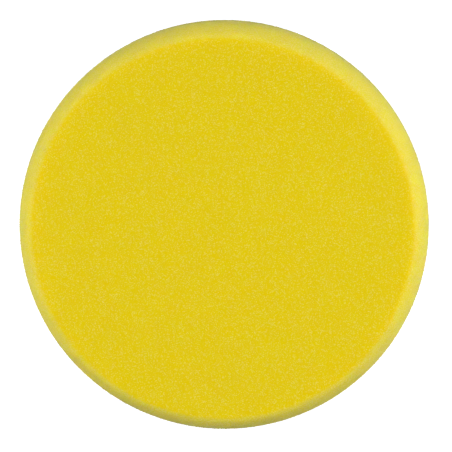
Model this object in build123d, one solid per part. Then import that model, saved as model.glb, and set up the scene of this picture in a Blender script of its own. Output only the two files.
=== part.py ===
from build123d import *
import os

# A round foam polishing pad with a loop-fabric back, which sticks to the hook-faced
# backing plate of a polishing machine. The pad lies on its loops with the working
# face up. +Z is the pad's own axis, and the origin is the centre of the loop face.
# All sizes are in millimetres.

# Driving dimensions: the foam
PAD_DIAMETER = 150.0  # across the upright lower half of the wall
FACE_DIAMETER = 140.8  # where the wall's line meets the working face, before that edge is rounded
FOAM_THICKNESS = 25.0
LEAN_START = 18.5  # height above the foam's back where the wall's upright and leaning lines meet
LEAN_BLEND_RADIUS = 16.0  # the wide bend between those two lines, which rounds the upper half of the wall
FACE_EDGE_RADIUS = 4.0  # ground edge round the working face
BACK_EDGE_RADIUS = 1.5  # edge of the foam where it meets the loop fabric

# Driving dimensions: the back
FABRIC_DIAMETER = PAD_DIAMETER - 2 * BACK_EDGE_RADIUS  # the cloth ends where the foam's back stops being flat
PILE_HEIGHT = 1.4  # standing loops
GROUND_THICKNESS = 0.4  # knitted ground cloth
FILM_THICKNESS = 0.2  # hot-melt film

# The layers lie on each other, face to face
GROUND_BOTTOM = PILE_HEIGHT
FILM_BOTTOM = GROUND_BOTTOM + GROUND_THICKNESS
FOAM_BOTTOM = FILM_BOTTOM + FILM_THICKNESS

PARTS_FOLDER = "parts"


def rounded(section, corner, radius):
    """The section with its corner at the given point rounded off."""
    nearest = section.vertices().sort_by_distance(corner)[0]
    return fillet(nearest, radius)


def foam_section():
    """One half of the foam's section: x is the distance from the axis, y the height above the foam's back."""
    back_corner = (PAD_DIAMETER / 2, 0)
    lean_corner = (PAD_DIAMETER / 2, LEAN_START)
    face_corner = (FACE_DIAMETER / 2, FOAM_THICKNESS)
    outline = Polyline((0, 0), back_corner, lean_corner, face_corner, (0, FOAM_THICKNESS), close=True)
    section = make_face(outline)
    section = rounded(section, back_corner, BACK_EDGE_RADIUS)
    section = rounded(section, lean_corner, LEAN_BLEND_RADIUS)
    return rounded(section, face_corner, FACE_EDGE_RADIUS)


def foam_body():
    """The foam block, turned from its half section."""
    block = revolve(Plane.XZ * foam_section(), Axis.Z)
    return Pos(0, 0, FOAM_BOTTOM) * block


def fabric_layer(bottom, thickness):
    """A round layer as wide as the loop fabric, lying on the plane z = bottom."""
    layer = Cylinder(FABRIC_DIAMETER / 2, thickness, align=(Align.CENTER, Align.CENTER, Align.MIN))
    return Pos(0, 0, bottom) * layer


def write_part(node, solid):
    """Writes one sub-part, and names its solid after its node."""
    solid.label = node
    export_step(solid, f"{PARTS_FOLDER}/{node}.step")


os.makedirs(PARTS_FOLDER, exist_ok=True)
write_part("loop_pile", fabric_layer(0, PILE_HEIGHT))
write_part("loop_ground", fabric_layer(GROUND_BOTTOM, GROUND_THICKNESS))
write_part("adhesive_film", fabric_layer(FILM_BOTTOM, FILM_THICKNESS))
write_part("foam_body", foam_body())
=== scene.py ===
import math

import bpy
import numpy as np
from mathutils import Matrix, Vector, noise


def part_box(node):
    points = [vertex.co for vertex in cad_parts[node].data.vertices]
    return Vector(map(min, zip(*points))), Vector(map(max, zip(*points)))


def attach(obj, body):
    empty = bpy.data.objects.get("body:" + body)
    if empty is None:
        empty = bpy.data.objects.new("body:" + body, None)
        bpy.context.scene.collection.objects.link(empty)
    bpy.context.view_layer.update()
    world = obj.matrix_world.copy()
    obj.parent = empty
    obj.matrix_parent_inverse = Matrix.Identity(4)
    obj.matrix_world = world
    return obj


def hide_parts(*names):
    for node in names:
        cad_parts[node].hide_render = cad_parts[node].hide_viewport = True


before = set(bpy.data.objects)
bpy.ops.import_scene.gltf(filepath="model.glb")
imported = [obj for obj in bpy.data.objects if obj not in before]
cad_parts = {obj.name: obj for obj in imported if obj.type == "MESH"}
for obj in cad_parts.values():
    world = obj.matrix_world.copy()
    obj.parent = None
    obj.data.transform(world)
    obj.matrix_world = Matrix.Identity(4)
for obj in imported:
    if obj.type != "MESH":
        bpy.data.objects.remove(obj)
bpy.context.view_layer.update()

# A round foam polishing pad that lies on its loops with the working face up, in
# metres. The foam, the hot-melt film, the knitted ground cloth and the loops are
# each rebuilt at full detail in the place of their plain solids.

MM = 0.001

# ---------------------------------------------------------------- sizes and places
foam_low, foam_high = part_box("foam_body")
film_low, film_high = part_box("adhesive_film")
ground_low, ground_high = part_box("loop_ground")
pile_low, pile_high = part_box("loop_pile")

PAD_RADIUS = (foam_high.x - foam_low.x) / 2
FABRIC_RADIUS = (ground_high.x - ground_low.x) / 2

# The foam's own shape, as its solid has it
FACE_RADIUS = 70.4 * MM  # where the wall's line meets the working face
LEAN_START = 18.5 * MM  # height above the foam's back where the wall's upright and leaning lines meet
LEAN_BLEND_RADIUS = 16.0 * MM  # the wide bend between those two lines
FACE_EDGE_RADIUS = 4.0 * MM
BACK_EDGE_RADIUS = PAD_RADIUS - FABRIC_RADIUS

# The foam's surface
FACE_CELLS_ACROSS = 180  # squares along one side of the grid that covers the working face
OUTLINE_STEP = 0.1 * MM  # spacing of the points that a rounded corner is first drawn with
WALL_ROW = 0.52 * MM  # height of one row of squares down the wall
PORE_PITCH = 1.5 * MM  # hollows where the slice went through a group of open cells
PORE_DEPTH = 0.14 * MM
PORE_REACH = 0.62  # how far a hollow spreads from its middle, as a share of the pitch
SLICED_RADIUS = 69.0 * MM  # outside this the sliced face turns into the ground wall
GROUND_BLEND = 1.5 * MM  # width of the ring where one turns into the other
NAP_PITCH = 0.9 * MM  # lumps of the ground wall's fuzz
NAP_HEIGHT = 0.08 * MM
FLAT_BACK = 0.1 * MM  # foam lower than this above its back stays flat, because it is glued
STRUTS = 13000  # torn ends of the foam's struts, which stand out of the ground wall
STRUT_LENGTH = 0.45 * MM
STRUT_WIDTH = 0.20 * MM
STRUT_TILT = 0.45  # sideways lean of a strut for each unit of its length, as a standard deviation
STRUT_LOWEST = 0.3 * MM  # height of the lowest strut above the foam's back

# The foam's colours (red, green, blue and opacity, in linear light) and its grain
SLICED_YELLOW = (0.632, 0.493, 0.0003, 1)
# the fleck colour is a painted glint: light caught by cut struts, painted into the face's colour
PAINTED_GLINT_YELLOW = (0.656, 0.560, 0.090, 1)
GROUND_YELLOW = (0.605, 0.510, 0.012, 1)
# the fuzz colour is partly the ground nap's own paler tone and partly painted sheen of light on it
FUZZ_AND_SHEEN_YELLOW = (0.640, 0.555, 0.146, 1)
PAINTED_GLINT_SIZE = 0.29 * MM  # cells of painted glints, for cut struts that catch the light
PAINTED_GLINT_RARITY = 5.0  # the higher this power, the fewer cells get a painted glint
CLUMP_SIZE = 1.2 * MM  # patches with brighter or duller painted glints
FUZZ_AND_SHEEN_SIZE = 0.45 * MM
CELL_SIZE = 0.75 * MM  # open cells that the shading shows, between the hollows of the mesh
CELL_DEPTH = 0.10 * MM
LIGHT_DEPTH = 10 * MM  # how far red light spreads inside the foam

# The film
FILM_POINTS_AROUND = 720
FILM_RINGS = 7  # rings of points over the film's rounded edge
FILM_WANDER = 0.12 * MM  # how far the edge of the set glue strays
FILM_WAVES = 25  # how fast it strays

# The loop fabric
CLOTH_CELLS_ACROSS = 180
RIB_PITCH = 1.6 * MM
STITCH_HEIGHT = 0.05 * MM
FLUFF_PITCH = 1.1 * MM
FLUFF_HEIGHT = 0.07 * MM
CLOTH_BULGE = 0.1 * MM  # how far the middle of the cut edge stands out
CLOTH_WANDER = 0.08 * MM  # how far the cut strays
CLOTH_WAVES = 90  # how fast it strays
LOOP_PITCH = 1.85 * MM
LOOP_SCATTER = 0.25  # how far a loop's root is moved, as a share of the pitch
EDGE_LOOP_PITCH = 0.8 * MM  # spacing of the loops that stand round the edge
EDGE_LOOP_INSET = 0.55 * MM
LOOP_RADIUS = 0.12 * MM  # half the thickness of the yarn
LOOP_NARROWEST = 0.5 * MM
LOOP_WIDEST = 1.1 * MM
LOOP_SHORTFALL = 0.22 * MM  # how much shorter than the pile a loop is, as a standard deviation
LOOP_LEAN = 0.45 * MM  # sideways lean of a loop's far end, as a standard deviation
LOOP_LEAN_LIMIT = 0.8 * MM
LOOP_OVERHANG = 0.2 * MM  # how far a leaning loop may stand past the cloth
LOOP_ROOT_DEPTH = 0.08 * MM  # how far the loops' ends reach into the ground cloth
LOOP_BENDS = 5  # straight pieces in one loop
LOOP_SIDES = 3

# The camera
CAMERA_DISTANCE = 1.2
CAMERA_TOWARDS_BACK = math.radians(6.3)
CAMERA_TOWARDS_RIGHT = math.radians(2.45)
PICTURE_SIZE = 452
SENSOR_WIDTH = 36.0
PICTURE_PER_METRE = 2700.0  # picture points to one metre at the pad's widest ring
AIM_RIGHT = 0.33 * MM  # the camera looks this far right of and below the pad's axis
AIM_BELOW = 1.24 * MM
CLIP_START = 0.01
CLIP_END = 20

# The light
ROOM_FRONT = 0.30  # brightness of the pale room, which grows from the front to the back
ROOM_BACK = 0.72
HORIZON_WHITE = 1.0  # brightness of the band round the horizon, which the floor runs into
FLOOR_GLOW = 0.55  # the floor's own light, which keeps it as white as the horizon far from the lights
FLOOR_WHITE = 0.80
FLOOR_HALF_WIDTH = 20.0

# Each light's name, degrees round from +X, degrees above the floor, metres from the
# pad, width and power
LIGHTS = (
    ("right", -27, 10, 0.6, 0.35, 1.06),
    ("back_right", 42, 8, 1.2, 0.7, 6.5),
    ("back_left", 135, 8, 1.2, 0.7, 1.7),
    ("left", 197, 10, 0.6, 0.35, 0.98),
    ("high_right", 0, 35, 0.6, 0.35, 0.85),
    ("high_left", 180, 35, 0.6, 0.35, 0.85),
    ("above", 90, 85, 1.0, 0.6, 3.65),
)


# ---------------------------------------------------------------- mesh helpers
def new_piece(name, points, faces, material):
    """A smooth mesh object in the scene, riding on the pad's only body."""
    mesh = bpy.data.meshes.new(name)
    mesh.from_pydata(points.tolist(), [], faces)
    mesh.validate()
    mesh.polygons.foreach_set("use_smooth", [True] * len(mesh.polygons))
    mesh.materials.append(material)
    piece = bpy.data.objects.new(name, mesh)
    bpy.context.scene.collection.objects.link(piece)
    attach(piece, "root")
    return piece


def rounded_path(corners, radii, step):
    """Points along straight runs whose inner corners are rounded, all turning to the right."""
    corners = [np.array(corner, float) for corner in corners]
    path = [corners[0]]
    for before, corner, after, radius in zip(corners, corners[1:], corners[2:], radii):
        arriving = (corner - before) / np.linalg.norm(corner - before)
        leaving = (after - corner) / np.linalg.norm(after - corner)
        turn = math.acos(np.clip(arriving @ leaving, -1, 1))
        start = corner - arriving * radius * math.tan(turn / 2)
        outwards = np.array((-arriving[1], arriving[0]))
        centre = start - outwards * radius
        for angle in np.linspace(0, turn, max(4, math.ceil(turn * radius / step))):
            turned = outwards * math.cos(angle) + arriving * math.sin(angle)
            path.append(centre + turned * radius)
    path.append(corners[-1])
    return np.array(path)


def spaced_path(path, step):
    """The path again with even spacing, and the outward direction at each point."""
    lengths = np.linalg.norm(np.diff(path, axis=0), axis=1)
    along = np.concatenate([[0], np.cumsum(lengths)])
    count = math.ceil(along[-1] / step)
    at = np.linspace(0, along[-1], count + 1)
    points = np.stack([np.interp(at, along, path[:, k]) for k in range(2)], axis=1)
    tangents = np.gradient(points, axis=0)
    tangents /= np.linalg.norm(tangents, axis=1)[:, None]
    return points, np.stack([-tangents[:, 1], tangents[:, 0]], axis=1)


def disc_grid(across):
    """A square grid bent into a disc of radius 1 with squares of equal area.

    Returns the points, the faces, and the indices round the rim in order."""
    line = np.linspace(-1, 1, across + 1)
    u, v = (a.ravel() for a in np.meshgrid(line, line, indexing="ij"))
    wide = np.abs(u) >= np.abs(v)
    radius = np.where(wide, u, v)
    share = np.where(wide, v, u) / np.where(radius == 0, 1, radius)
    angle = np.where(wide, math.pi / 4 * share, math.pi / 2 - math.pi / 4 * share)
    points = np.stack([radius * np.cos(angle), radius * np.sin(angle)], axis=1)
    side = across + 1
    faces = [
        (i * side + j, (i + 1) * side + j, (i + 1) * side + j + 1, i * side + j + 1)
        for i in range(across)
        for j in range(across)
    ]
    rim = [across * side + j for j in range(across)]
    rim += [i * side + across for i in range(across, 0, -1)]
    rim += [j for j in range(across, 0, -1)]
    rim += [i * side for i in range(across)]
    return points, faces, rim


def ring_faces(rings, count):
    """Squares between successive rings of count points, each ring a list of indices in order."""
    return [
        (outer[k], outer[(k + 1) % count], inner[(k + 1) % count], inner[k])
        for inner, outer in zip(rings, rings[1:])
        for k in range(count)
    ]


# ---------------------------------------------------------------- node helpers
def new_material(name):
    """A material with nodes, its node tree and its Principled shader."""
    material = bpy.data.materials.new(name)
    material.use_nodes = True
    return material, material.node_tree, material.node_tree.nodes["Principled BSDF"]


def set_or_link(tree, socket, value):
    """Gives an input socket a plain value, or links another node's output to it."""
    if isinstance(value, bpy.types.NodeSocket):
        tree.links.new(value, socket)
    else:
        socket.default_value = value


def add(tree, kind, sockets=(), **settings):
    """A new node with its settings, and its input sockets set or linked by name."""
    made = tree.nodes.new(kind)
    for key, value in settings.items():
        setattr(made, key, value)
    for name, value in dict(sockets).items():
        set_or_link(tree, made.inputs[name], value)
    return made


def cells(tree, place, size):
    """How far each point is from the middle of its cell, where cells are size apart."""
    return add(tree, "ShaderNodeTexVoronoi", {"Vector": place, "Scale": 1 / size}).outputs["Distance"]


def cell_values(tree, place, size):
    """A value from 0 to 1 drawn at random for each cell, where cells are size apart."""
    made = add(tree, "ShaderNodeTexVoronoi", {"Vector": place, "Scale": 1 / size})
    return add(tree, "ShaderNodeSeparateColor", {"Color": made.outputs["Color"]}).outputs["Red"]


def grain(tree, place, size, detail=2.0):
    """Soft noise from 0 to 1 whose lumps are about size across."""
    sockets = {"Vector": place, "Scale": 1 / size, "Detail": detail, "Roughness": 0.5}
    return add(tree, "ShaderNodeTexNoise", sockets).outputs["Fac"]


def spread(tree, value, low, high, to_low=0.0, to_high=1.0):
    """The value rescaled from low..high to to_low..to_high, with soft ends."""
    sockets = {"Value": value, "From Min": low, "From Max": high, "To Min": to_low, "To Max": to_high}
    return add(tree, "ShaderNodeMapRange", sockets, interpolation_type="SMOOTHSTEP").outputs["Result"]


def math_node(tree, operation, first, second):
    """The result of one operation on two values."""
    made = add(tree, "ShaderNodeMath", operation=operation)
    set_or_link(tree, made.inputs[0], first)
    set_or_link(tree, made.inputs[1], second)
    return made.outputs[0]


def blend_colour(tree, share, first, second):
    """The first colour where share is 0 and the second where it is 1."""
    made = add(tree, "ShaderNodeMix", data_type="RGBA")
    # this node has a factor and an A and B for each kind of value, and its colours are the last pair
    for index, value in ((0, share), (6, first), (7, second)):
        set_or_link(tree, made.inputs[index], value)
    return made.outputs[2]


def object_place(tree):
    """Each point's place in the pad's own frame, in metres."""
    return add(tree, "ShaderNodeTexCoord").outputs["Object"]


def bump(tree, height, depth, strength):
    """A normal from a height map that runs from 0 to 1 over depth metres."""
    sockets = {"Height": height, "Distance": depth, "Strength": strength}
    return add(tree, "ShaderNodeBump", sockets).outputs["Normal"]


# ---------------------------------------------------------------- materials
def foam_material():
    """Yellow open-cell foam: saturated where sliced, speckled there with painted glints; paler and finer
    where ground, that paleness partly painted sheen.
    """
    material, tree, shader = new_material("foam_yellow")
    place = object_place(tree)
    ground_share = add(tree, "ShaderNodeAttribute", attribute_name="ground").outputs["Fac"]

    # painted glints: random cells of the sliced face turn paler, as if cut struts caught the light
    by_chance = math_node(tree, "POWER", cell_values(tree, place, PAINTED_GLINT_SIZE), PAINTED_GLINT_RARITY)
    clumps = spread(tree, grain(tree, place, CLUMP_SIZE), 0.3, 0.7, 0.8, 1.2)
    painted_glint = math_node(tree, "MULTIPLY", by_chance, clumps)
    sliced = blend_colour(tree, painted_glint, SLICED_YELLOW, PAINTED_GLINT_YELLOW)

    # the wall's pale fuzz colour: partly its own paler nap, partly painted sheen, and brighter in the
    # painted glint cells
    fuzz_and_sheen = spread(tree, grain(tree, place, FUZZ_AND_SHEEN_SIZE), 0.3, 0.7)
    fuzz_and_sheen = math_node(tree, "MULTIPLY", fuzz_and_sheen, math_node(tree, "ADD", by_chance, 0.55))
    ground = blend_colour(tree, fuzz_and_sheen, GROUND_YELLOW, FUZZ_AND_SHEEN_YELLOW)
    colour = blend_colour(tree, ground_share, sliced, ground)
    tree.links.new(colour, shader.inputs["Base Color"])

    pores = spread(tree, cells(tree, place, CELL_SIZE), 0.1, 0.75)
    wall_height = grain(tree, place, 0.35 * MM, detail=3.0)
    mixed = add(tree, "ShaderNodeMix", {"Factor": ground_share, "A": pores, "B": wall_height})
    tree.links.new(bump(tree, mixed.outputs["Result"], CELL_DEPTH, 0.2), shader.inputs["Normal"])

    roughness = spread(tree, painted_glint, 0, 1, 0.85, 0.7)
    tree.links.new(roughness, shader.inputs["Roughness"])
    shader.inputs["Specular IOR Level"].default_value = 0.02
    shader.inputs["Sheen Weight"].default_value = 0.06
    shader.inputs["Sheen Roughness"].default_value = 0.42
    shader.inputs["Sheen Tint"].default_value = (1.0, 1.0, 0.95, 1)
    shader.inputs["Subsurface Weight"].default_value = 1.0
    shader.inputs["Subsurface Radius"].default_value = (1.0, 0.5, 0.04)
    shader.inputs["Subsurface Scale"].default_value = LIGHT_DEPTH
    return material


def film_material():
    """Set hot-melt glue: yellowish, a little glossy and cloudy."""
    material, tree, shader = new_material("film_hot_melt")
    place = object_place(tree)
    clouds = spread(tree, grain(tree, place, 3 * MM, detail=3.0), 0.3, 0.7)
    colour = blend_colour(tree, clouds, (0.52, 0.44, 0.22, 1), (0.68, 0.62, 0.42, 1))
    tree.links.new(colour, shader.inputs["Base Color"])
    tree.links.new(spread(tree, clouds, 0, 1, 0.35, 0.55), shader.inputs["Roughness"])
    tree.links.new(bump(tree, grain(tree, place, 0.8 * MM), 0.05 * MM, 0.5), shader.inputs["Normal"])
    return material


def yarn_material(name, dark, light, twist):
    """White nylon yarn, shaded across its filaments, whose twist repeats about every twist metres."""
    material, tree, shader = new_material(name)
    place = object_place(tree)
    filaments = spread(tree, grain(tree, place, twist, detail=3.0), 0.3, 0.7)
    tufts = spread(tree, grain(tree, place, 6 * MM), 0.3, 0.7)
    fine = math_node(tree, "MULTIPLY", filaments, 0.7)
    coarse = math_node(tree, "MULTIPLY", tufts, 0.3)
    share = math_node(tree, "ADD", fine, coarse)
    tree.links.new(blend_colour(tree, share, dark, light), shader.inputs["Base Color"])
    tree.links.new(spread(tree, filaments, 0, 1, 0.75, 0.55), shader.inputs["Roughness"])
    tree.links.new(bump(tree, filaments, 0.06 * MM, 0.6), shader.inputs["Normal"])
    shader.inputs["Sheen Weight"].default_value = 0.3
    shader.inputs["Sheen Roughness"].default_value = 0.4
    return material


# ---------------------------------------------------------------- the foam
def pore_relief(point):
    """How far the sliced face sinks: deep in the middle of an open cell, nothing on its struts."""
    distances, _ = noise.voronoi(point / PORE_PITCH)
    middle = max(0.0, 1.0 - distances[0] / PORE_REACH)
    variety = 0.5 + noise.cell(point / (3 * PORE_PITCH))
    return -PORE_DEPTH * middle * variety


def nap_relief(point):
    """The uneven fuzz of the ground wall."""
    return NAP_HEIGHT * noise.fractal(point / NAP_PITCH, 0.9, 2.1, 3)


def foam_outline():
    """Points down the foam's edge and wall, from the face's flat part to the back.

    Returns each point as (radius, height), and the outward direction at each."""
    corners = [
        (0, foam_high.z),
        (FACE_RADIUS, foam_high.z),
        (PAD_RADIUS, foam_low.z + LEAN_START),
        (PAD_RADIUS, foam_low.z),
        (0, foam_low.z),
    ]
    radii = (FACE_EDGE_RADIUS, LEAN_BLEND_RADIUS, BACK_EDGE_RADIUS)
    path = rounded_path(corners, radii, OUTLINE_STEP)[1:-1]
    return spaced_path(path, WALL_ROW)


def foam_skin(outline, outwards):
    """The foam's smooth skin: an even grid over the face, rings down the wall, and a flat back.

    Returns the points, the outward direction at each, and the faces."""
    flat, faces, rim = disc_grid(FACE_CELLS_ACROSS)
    flat = flat * outline[0, 0]
    count = len(rim)
    angles = np.arctan2(flat[rim, 1], flat[rim, 0])
    around = np.stack([np.cos(angles), np.sin(angles)], axis=1)

    points = [np.column_stack([flat, np.full(len(flat), foam_high.z)])]
    normals = [np.tile((0.0, 0.0, 1.0), (len(flat), 1))]
    rings = [rim]
    for (radius, height), (out, up) in zip(outline[1:], outwards[1:]):
        first = len(flat) + (len(rings) - 1) * count
        rings.append(list(range(first, first + count)))
        points.append(np.column_stack([around * radius, np.full(count, height)]))
        normals.append(np.column_stack([around * out, np.full(count, up)]))
    faces += ring_faces(rings, count)
    faces.append(tuple(reversed(rings[-1])))
    return np.concatenate(points), np.concatenate(normals), faces


def ground_shares(points):
    """How far the surface at each point has turned from the sliced face, 0, into the ground wall, 1."""
    share = np.clip((np.hypot(points[:, 0], points[:, 1]) - SLICED_RADIUS) / GROUND_BLEND, 0, 1)
    return share * share * (3 - 2 * share)


def add_relief(points, normals, ground):
    """Moves the skin's points in and out by the hollows of the face and the nap of the wall."""
    flat_back = points[:, 2] < foam_low.z + FLAT_BACK
    for index, (point, normal) in enumerate(zip(points, normals)):
        if flat_back[index]:
            continue
        place = Vector(point)
        share = ground[index]
        relief = (1 - share) * pore_relief(place) + share * nap_relief(place)
        points[index] += normal * relief


def torn_struts(outline, outwards, random):
    """Small closed three-sided spikes that stand out of the wall, as three corners and a tip each."""
    usable = (outline[:, 0] > SLICED_RADIUS) & (outline[:, 1] > foam_low.z + STRUT_LOWEST)
    outline, outwards = outline[usable], outwards[usable]
    row = random.integers(0, len(outline) - 1, STRUTS)
    between = random.random(STRUTS)[:, None]
    root = outline[row] * (1 - between) + outline[row + 1] * between
    out = outwards[row]
    angle = random.uniform(0, 2 * math.pi, STRUTS)
    around = np.column_stack([np.cos(angle), np.sin(angle)])
    middle = np.column_stack([around * root[:, :1], root[:, 1]])
    normal = np.column_stack([around * out[:, :1], out[:, 1]])
    along = np.column_stack([-around[:, 1], around[:, 0], np.zeros(STRUTS)])
    across = np.cross(normal, along)
    tilt = random.normal(0, STRUT_TILT, (STRUTS, 2))
    length = STRUT_LENGTH * random.uniform(0.35, 1.0, STRUTS)
    tip = middle + (normal + along * tilt[:, :1] + across * tilt[:, 1:]) * length[:, None]
    corners = []
    for turn in np.arange(3) * 2 * math.pi / 3:
        side = along * math.cos(turn) + across * math.sin(turn)
        corners.append(middle - normal * NAP_HEIGHT + side * STRUT_WIDTH / 2)
    return np.stack([*corners, tip], axis=1).reshape(-1, 3)


def foam_piece():
    """The foam: a skin with hollows on the face and nap on the wall, and torn struts on the wall."""
    outline, outwards = foam_outline()
    points, normals, faces = foam_skin(outline, outwards)
    ground = ground_shares(points)
    add_relief(points, normals, ground)
    struts = torn_struts(outline, outwards, np.random.default_rng(3))
    for first in range(len(points), len(points) + len(struts), 4):
        a, b, c, tip = range(first, first + 4)
        faces += [(c, b, a), (a, b, tip), (b, c, tip), (c, a, tip)]
    points = np.concatenate([points, struts])
    ground = np.concatenate([ground, np.ones(len(struts))])
    piece = new_piece("foam", points, faces, foam_material())
    attribute = piece.data.attributes.new("ground", "FLOAT", "POINT")
    attribute.data.foreach_set("value", ground.astype(np.float32))
    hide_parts("foam_body")


# ---------------------------------------------------------------- the back
def film_piece():
    """The hot-melt film: a thin disc whose edge wanders a little, as squeezed glue does."""
    count = FILM_POINTS_AROUND
    angles = np.linspace(0, 2 * math.pi, count, endpoint=False)
    around = np.stack([np.cos(angles), np.sin(angles)], axis=1)
    wander = np.array([noise.noise(Vector((x * FILM_WAVES, y * FILM_WAVES, 3.0))) for x, y in around])
    middle = (film_low.z + film_high.z) / 2
    half = (film_high.z - film_low.z) / 2
    points, rings = [], []
    for tilt in np.linspace(math.pi / 2, -math.pi / 2, FILM_RINGS):
        radius = FABRIC_RADIUS + FILM_WANDER * wander + half * (math.cos(tilt) - 1)
        height = middle + half * math.sin(tilt)
        rings.append(list(range(len(rings) * count, (len(rings) + 1) * count)))
        points.append(np.column_stack([around * radius[:, None], np.full(count, height)]))
    faces = [tuple(rings[0])] + ring_faces(rings, count) + [tuple(reversed(rings[-1]))]
    piece = new_piece("film", np.concatenate(points), faces, film_material())
    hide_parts("adhesive_film")


def stitch_relief(point):
    """How far the knit stands up at a point: stitches in rows and columns, with fluff over them."""
    column = math.cos(2 * math.pi * point[0] / RIB_PITCH)
    row = math.cos(2 * math.pi * point[1] / RIB_PITCH)
    fluff = noise.noise(Vector(point) / FLUFF_PITCH)
    return STITCH_HEIGHT * column * row + FLUFF_HEIGHT * fluff


def cloth_edge_ring(rim, share):
    """A ring of points on the cloth's cut edge, share of the way from its lower side to its upper side."""
    height = ground_low.z + (ground_high.z - ground_low.z) * share
    radius = FABRIC_RADIUS + CLOTH_BULGE * math.sin(math.pi * share)
    wander = np.array([noise.noise(Vector((x * CLOTH_WAVES, y * CLOTH_WAVES, share * 4))) for x, y in rim])
    return np.column_stack([rim * (radius + CLOTH_WANDER * wander[:, None]), np.full(len(rim), height)])


def ground_cloth_piece(loops):
    """The knitted ground cloth: ribs of stitches on its lower side, and a cut edge."""
    flat, faces, rim = disc_grid(CLOTH_CELLS_ACROSS)
    count = len(rim)
    edge = np.zeros(len(flat), bool)
    edge[rim] = True
    points = np.column_stack([flat * FABRIC_RADIUS, np.full(len(flat), ground_low.z)])
    for index, point in enumerate(points):
        if not edge[index]:
            points[index, 2] += stitch_relief(point)
    faces = [tuple(reversed(face)) for face in faces]
    rings = [rim]
    for share in (0.25, 0.5, 0.75, 1.0):
        points = np.concatenate([points, cloth_edge_ring(flat[rim], share)])
        rings.append(list(range(len(points) - count, len(points))))
    faces += ring_faces(list(reversed(rings)), count)
    faces.append(tuple(rings[-1]))
    material = yarn_material("ground_cloth_knit", (0.50, 0.50, 0.48, 1), (0.68, 0.68, 0.66, 1), 0.3 * MM)
    piece = new_piece("ground_cloth", points, faces, material)
    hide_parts("loop_ground")


def loop_places(random):
    """Where the loops are rooted: staggered rows with each place moved a little, and a row at the edge."""
    places = []
    row_gap = LOOP_PITCH * math.sqrt(3) / 2
    rows = math.ceil(FABRIC_RADIUS / row_gap)
    limit = FABRIC_RADIUS - EDGE_LOOP_INSET
    for row in range(-rows, rows + 1):
        shift = LOOP_PITCH / 2 * (row % 2)
        for column in range(-rows, rows + 1):
            x = column * LOOP_PITCH + shift + random.uniform(-LOOP_SCATTER, LOOP_SCATTER) * LOOP_PITCH
            y = row * row_gap + random.uniform(-LOOP_SCATTER, LOOP_SCATTER) * LOOP_PITCH
            if math.hypot(x, y) < limit:
                places.append((x, y))
    around = int(2 * math.pi * limit / EDGE_LOOP_PITCH)
    for k in range(around):
        angle = 2 * math.pi * (k + random.uniform(-0.3, 0.3)) / around
        places.append((limit * math.cos(angle), limit * math.sin(angle)))
    return np.array(places)


def loop_line(x, y, random):
    """The middle of one loop's yarn, from the ground cloth down to the floor's side and back up."""
    steps = np.linspace(0, 1, LOOP_BENDS + 1)
    bow = np.sin(math.pi * steps) ** 0.65
    heading = random.uniform(0, math.pi)
    width = random.uniform(LOOP_NARROWEST, LOOP_WIDEST)
    root = pile_high.z + LOOP_ROOT_DEPTH
    low = pile_low.z + LOOP_RADIUS + abs(random.normal(0, LOOP_SHORTFALL))
    lean = np.clip(random.normal(0, LOOP_LEAN, 2), -LOOP_LEAN_LIMIT, LOOP_LEAN_LIMIT)
    across = np.array((math.cos(heading), math.sin(heading)))
    flat = (steps[:, None] - 0.5) * width * across + bow[:, None] * lean + (x, y)
    reach = np.linalg.norm(flat, axis=1).max()
    flat *= min(1, (FABRIC_RADIUS + LOOP_OVERHANG) / reach)
    return np.column_stack([flat, root - (root - low) * bow])


def tube_rings(line, radius, sides):
    """Rings of points round a line that lies in a plane holding the vertical."""
    tangents = np.gradient(line, axis=0)
    tangents /= np.linalg.norm(tangents, axis=1)[:, None]
    chord = line[-1] - line[0]
    side = np.cross(chord, (0, 0, 1.0))
    side /= np.linalg.norm(side) + 1e-12
    other = np.cross(tangents, side)
    other /= np.linalg.norm(other, axis=1)[:, None]
    turns = 2 * math.pi * np.arange(sides) / sides
    ring = np.cos(turns)[None, :, None] * side + np.sin(turns)[None, :, None] * other[:, None, :]
    return line[:, None, :] + ring * radius


def tube_faces(first, bends, sides):
    """The faces of one closed tube whose rings of points are numbered from first."""
    faces = []
    for near in range(first, first + bends * sides, sides):
        far = near + sides
        for s in range(sides):
            after = (s + 1) % sides
            faces.append((near + s, near + after, far + after, far + s))
    last = first + bends * sides
    faces.append(tuple(range(first + sides - 1, first - 1, -1)))
    faces.append(tuple(range(last, last + sides)))
    return faces


def loops_piece():
    """The pile: thousands of small nylon loops that stand down from the ground cloth."""
    random = np.random.default_rng(7)
    points, faces = [], []
    for x, y in loop_places(random):
        line = loop_line(x, y, random)
        rings = tube_rings(line, LOOP_RADIUS * random.uniform(0.8, 1.15), LOOP_SIDES)
        faces += tube_faces(len(points) * len(line) * LOOP_SIDES, LOOP_BENDS, LOOP_SIDES)
        points.append(rings.reshape(-1, 3))
    material = yarn_material("loops_nylon", (0.62, 0.62, 0.60, 1), (0.82, 0.82, 0.80, 1), 0.4 * MM)
    piece = new_piece("loops", np.concatenate(points), faces, material)
    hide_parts("loop_pile")
    return piece


# ---------------------------------------------------------------- the stage
def floor_piece():
    """A plain pale floor under the pad, which glows a little and throws no light back onto the pad."""
    half = FLOOR_HALF_WIDTH
    corners = [(-half, -half, 0), (half, -half, 0), (half, half, 0), (-half, half, 0)]
    mesh = bpy.data.meshes.new("floor")
    mesh.from_pydata(corners, [], [(0, 1, 2, 3)])
    material, _, shader = new_material("floor_white")
    shader.inputs["Base Color"].default_value = (FLOOR_WHITE, FLOOR_WHITE, FLOOR_WHITE, 1)
    shader.inputs["Roughness"].default_value = 0.9
    shader.inputs["Specular IOR Level"].default_value = 0.1
    shader.inputs["Emission Color"].default_value = (1, 1, 1, 1)
    shader.inputs["Emission Strength"].default_value = FLOOR_GLOW
    mesh.materials.append(material)
    floor = bpy.data.objects.new("floor", mesh)
    bpy.context.scene.collection.objects.link(floor)
    floor.visible_diffuse = False


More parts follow.
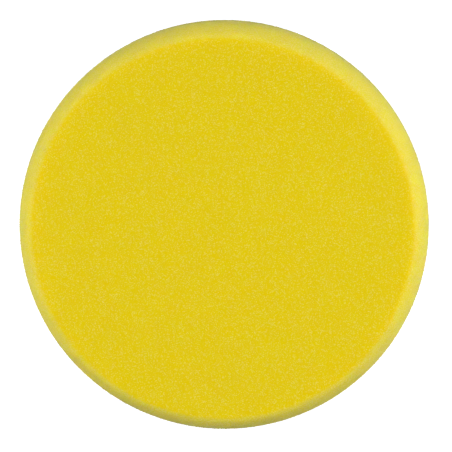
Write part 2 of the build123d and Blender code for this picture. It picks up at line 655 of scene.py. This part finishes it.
def softbox(name, round_from_right, above_floor, distance, width, power):
    """A round soft light that faces the pad."""
    lamp = bpy.data.lights.new(name, "AREA")
    lamp.shape = "DISK"
    lamp.size = width
    lamp.energy = power
    turn, lift = math.radians(round_from_right), math.radians(above_floor)
    towards = Vector((math.cos(turn) * math.cos(lift), math.sin(turn) * math.cos(lift), math.sin(lift)))
    holder = bpy.data.objects.new(name, lamp)
    holder.location = towards * distance
    holder.rotation_mode = "QUATERNION"
    holder.rotation_quaternion = towards.to_track_quat("Z", "Y")
    holder.visible_camera = False
    bpy.context.scene.collection.objects.link(holder)


def studio_light():
    """Round softboxes low and high about the pad and one above, in a pale room with a white horizon.

    The room is black below the horizon, so that no light comes up through the floor."""
    for light in LIGHTS:
        softbox(*light)
    world = bpy.data.worlds.new("studio")
    world.use_nodes = True
    tree = world.node_tree
    direction = add(tree, "ShaderNodeTexCoord").outputs["Generated"]
    towards = add(tree, "ShaderNodeSeparateXYZ", {"Vector": direction}).outputs
    room = spread(tree, towards["Y"], -0.7, 0.5, ROOM_FRONT, ROOM_BACK)
    horizon = spread(tree, towards["Z"], 0.03, 0.08, HORIZON_WHITE, 0.0)
    above_floor = spread(tree, towards["Z"], -0.02, -0.01)
    brightness = math_node(tree, "MAXIMUM", room, horizon)
    strength = math_node(tree, "MULTIPLY", brightness, above_floor)
    background = tree.nodes["Background"]
    tree.links.new(strength, background.inputs["Strength"])
    background.inputs["Color"].default_value = (1, 1, 1, 1)
    bpy.context.scene.world = world


def camera():
    """Almost straight down on the working face, a little from the back and the right."""
    back = Vector((math.tan(CAMERA_TOWARDS_RIGHT), math.tan(CAMERA_TOWARDS_BACK), 1)).normalized()
    right = Vector((0, 1, 0)).cross(back).normalized()
    up = back.cross(right)
    aim = Vector((AIM_RIGHT, -AIM_BELOW, foam_low.z + BACK_EDGE_RADIUS))
    data = bpy.data.cameras.new("camera")
    data.sensor_width = SENSOR_WIDTH
    data.lens = PICTURE_PER_METRE * CAMERA_DISTANCE / PICTURE_SIZE * SENSOR_WIDTH
    data.clip_start = CLIP_START
    data.clip_end = CLIP_END
    holder = bpy.data.objects.new("camera", data)
    turned = Matrix((right, up, back)).transposed().to_4x4()
    holder.matrix_world = Matrix.Translation(aim + back * CAMERA_DISTANCE) @ turned
    bpy.context.scene.collection.objects.link(holder)
    bpy.context.scene.camera = holder


foam_piece()
film_piece()
ground_cloth_piece(loops_piece())
floor_piece()
studio_light()
camera()
bpy.context.scene.view_settings.view_transform = "Standard"
